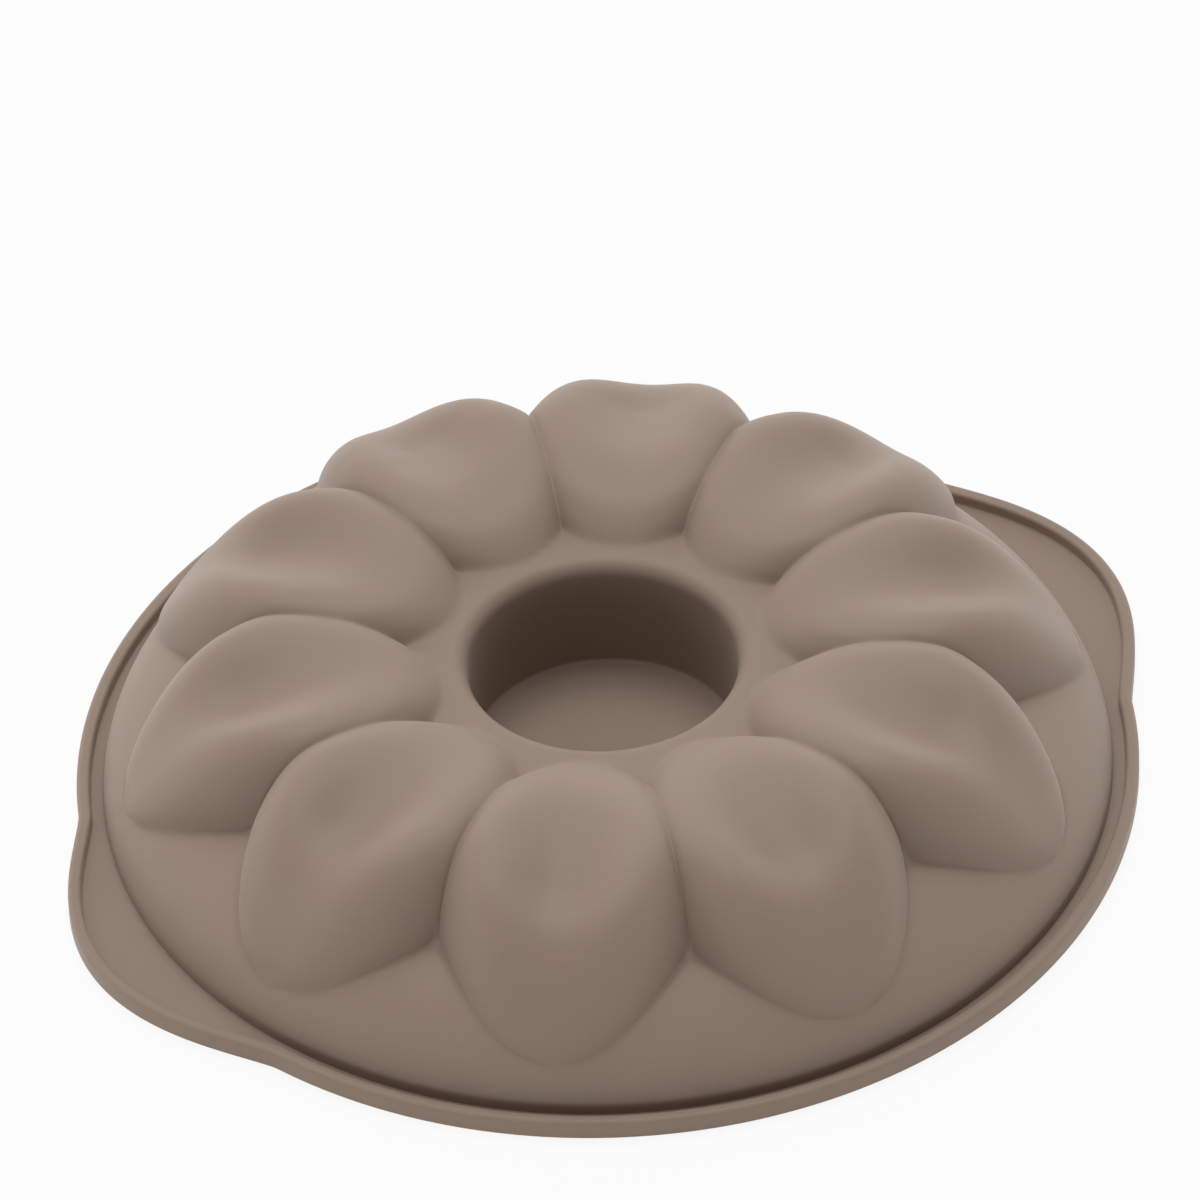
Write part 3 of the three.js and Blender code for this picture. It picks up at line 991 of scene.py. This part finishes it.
@dataclass(frozen=True)
class Lamp:
    """One soft box of the studio. Its bearing and its rise over the table are in degrees."""

    name: str
    bearing: float
    rise: float
    power: float
    size: float = 1.2
    distance: float = 1.6
    colour: str = "FFFFFF"

    def build(self, heading: float) -> None:
        """Hangs the lamp and turns it to the mould.

        Args:
            heading: which way the camera looks, in degrees. A lamp of bearing 0 hangs behind the mould.
        """
        turn = math.radians(heading + self.bearing)
        lift = math.radians(self.rise)
        flat = self.distance * math.cos(lift)
        place = Vector((-flat * math.sin(turn), flat * math.cos(turn), self.distance * math.sin(lift)))
        light = bpy.data.lights.new(self.name, "AREA")
        light.shape = "DISK"
        light.size = self.size
        light.energy = self.power
        light.color = linear_colour(self.colour)[:3]
        lamp = bpy.data.objects.new(self.name, light)
        lamp.location = place
        lamp.rotation_mode = "QUATERNION"
        lamp.rotation_quaternion = (-place).to_track_quat("-Z", "Y")
        bpy.context.scene.collection.objects.link(lamp)


@dataclass(frozen=True)
class Studio:
    """Pale table, soft boxes, room light and the camera. The camera's angles are in degrees."""

    floor_size: float = 12.0
    floor_gap: float = 0.1 * MM
    # Strength of the low ring of light, how low it keeps, how it swings, and the backdrop's strength.
    room_colour: str = "FFFFFF"
    horizon: float = 3.5
    horizon_power: float = 8.0
    horizon_swing: float = 0.35
    backdrop: float = 2.7
    lamps: tuple[Lamp, ...] = (
        Lamp("overhead soft box", 0.0, 75.0, 12.8),
        Lamp("front soft box", 180.0, 80.0, 2.6),
        Lamp("left soft box", 90.0, 40.0, 4.4, size=2.0),
        Lamp("right soft box", -90.0, 40.0, 1.1, size=2.0),
    )
    # The camera that fits the photograph's outline.
    distance: float = 2503.1 * MM
    azimuth: float = -28.2
    elevation: float = 41.77
    tilt: float = 0.959
    roll: float = 2.63
    focal_pixels: float = 10216.0
    photo_pixels: float = 1200.0
    sensor: float = 36.0
    view_depth: float = 100.0

    def build(self) -> None:
        """Builds the stage."""
        self.build_floor()
        self.build_room()
        for lamp in self.lamps:
            lamp.build(self.azimuth)
        self.build_camera()
        bpy.context.scene.view_settings.view_transform = "Standard"

    def build_floor(self) -> None:
        """Lays the table under the rim."""
        half = self.floor_size / 2
        shape = bmesh.new()
        corners = [shape.verts.new((x * half, y * half, -self.floor_gap))
                   for x, y in ((-1, -1), (1, -1), (1, 1), (-1, 1))]
        shape.faces.new(corners)
        mesh = bpy.data.meshes.new("pale_table")
        shape.to_mesh(mesh)
        shape.free()
        mesh.materials.append(PaleTable().material())
        new_object("pale_table", mesh)

    def build_room(self) -> None:
        """Lights the room with a low ring, stronger on the camera's side, and a backdrop behind the mould.

        The camera sees neither, but a plain pale ground.
        """
        world = bpy.data.worlds.new("studio room")
        world.use_nodes = True
        tree = world.node_tree
        tree.nodes.clear()
        seen = add_seen(tree)["seen"]
        place = add_node(tree, "ShaderNodeTexCoord").outputs["Generated"]
        heading = math.radians(self.azimuth)
        turned = add_node(tree, "ShaderNodeVectorMath", {
            0: place,
            1: (-math.sin(heading), math.cos(heading), 0.0),
        }, operation="DOT_PRODUCT")
        height = add_node(tree, "ShaderNodeSeparateXYZ", {"Vector": place}).outputs["Z"]
        glow = add_steps(tree, (
            Step("rise", "MAXIMUM", ("height", 0.0)),
            Step("level", "SUBTRACT", (1.0, "rise")),
            Step("low", "POWER", ("level", self.horizon_power)),
            Step("facing", "MULTIPLY_ADD", ("turned", -self.horizon_swing, 1.0)),
            Step("low_facing", "MULTIPLY", ("low", "facing")),
            Step("ring", "MULTIPLY", ("low_facing", self.horizon)),
            Step("behind", "MAXIMUM", ("turned", 0.0)),
            Step("sweep", "MULTIPLY", ("behind", "level")),
            Step("glow", "MULTIPLY_ADD", ("sweep", self.backdrop, "ring")),
        ), {"height": height, "turned": turned.outputs["Value"]})["glow"]
        room = add_node(tree, "ShaderNodeBackground", {
            "Color": linear_colour(self.room_colour),
            "Strength": glow,
        })
        ground = add_node(tree, "ShaderNodeBackground", {"Strength": 1.0})
        mixed = add_node(tree, "ShaderNodeMixShader", {
            0: seen,
            1: room.outputs["Background"],
            2: ground.outputs["Background"],
        })
        add_node(tree, "ShaderNodeOutputWorld", {"Surface": mixed.outputs["Shader"]})
        bpy.context.scene.world = world

    def build_camera(self) -> None:
        """Sets the camera at the photograph's view."""
        data = bpy.data.cameras.new("studio camera")
        data.sensor_width = self.sensor
        data.lens = self.sensor * (self.focal_pixels / self.photo_pixels)
        data.clip_end = self.view_depth
        camera = bpy.data.objects.new("studio camera", data)
        rise = math.radians(self.elevation)
        swing = Matrix.Rotation(math.radians(self.azimuth), 4, "Z")
        spot = swing @ Vector((0, -self.distance * math.cos(rise), self.distance * math.sin(rise)))
        aim = Matrix.Rotation(math.radians(90 - self.elevation + self.tilt), 4, "X")
        lean = Matrix.Rotation(math.radians(-self.roll), 4, "Z")
        camera.matrix_world = Matrix.Translation(spot) @ swing @ aim @ lean
        bpy.context.scene.collection.objects.link(camera)
        bpy.context.scene.camera = camera


def main() -> None:
    """Builds the mould and the studio."""
    logging.basicConfig(level=logging.INFO, format="%(name)s: %(message)s")
    rubber = MouldedSilicone().material()
    section = Section()
    for part in (PetalCrown(section, PetalRule()), WellCore(section), GripRim(section)):
        piece = part.build(rubber)
        part.dress(piece)
        LOG.info("%s: %d faces", piece.name, len(piece.data.polygons))
    Studio().build()


if __name__ == "__main__":
    main()
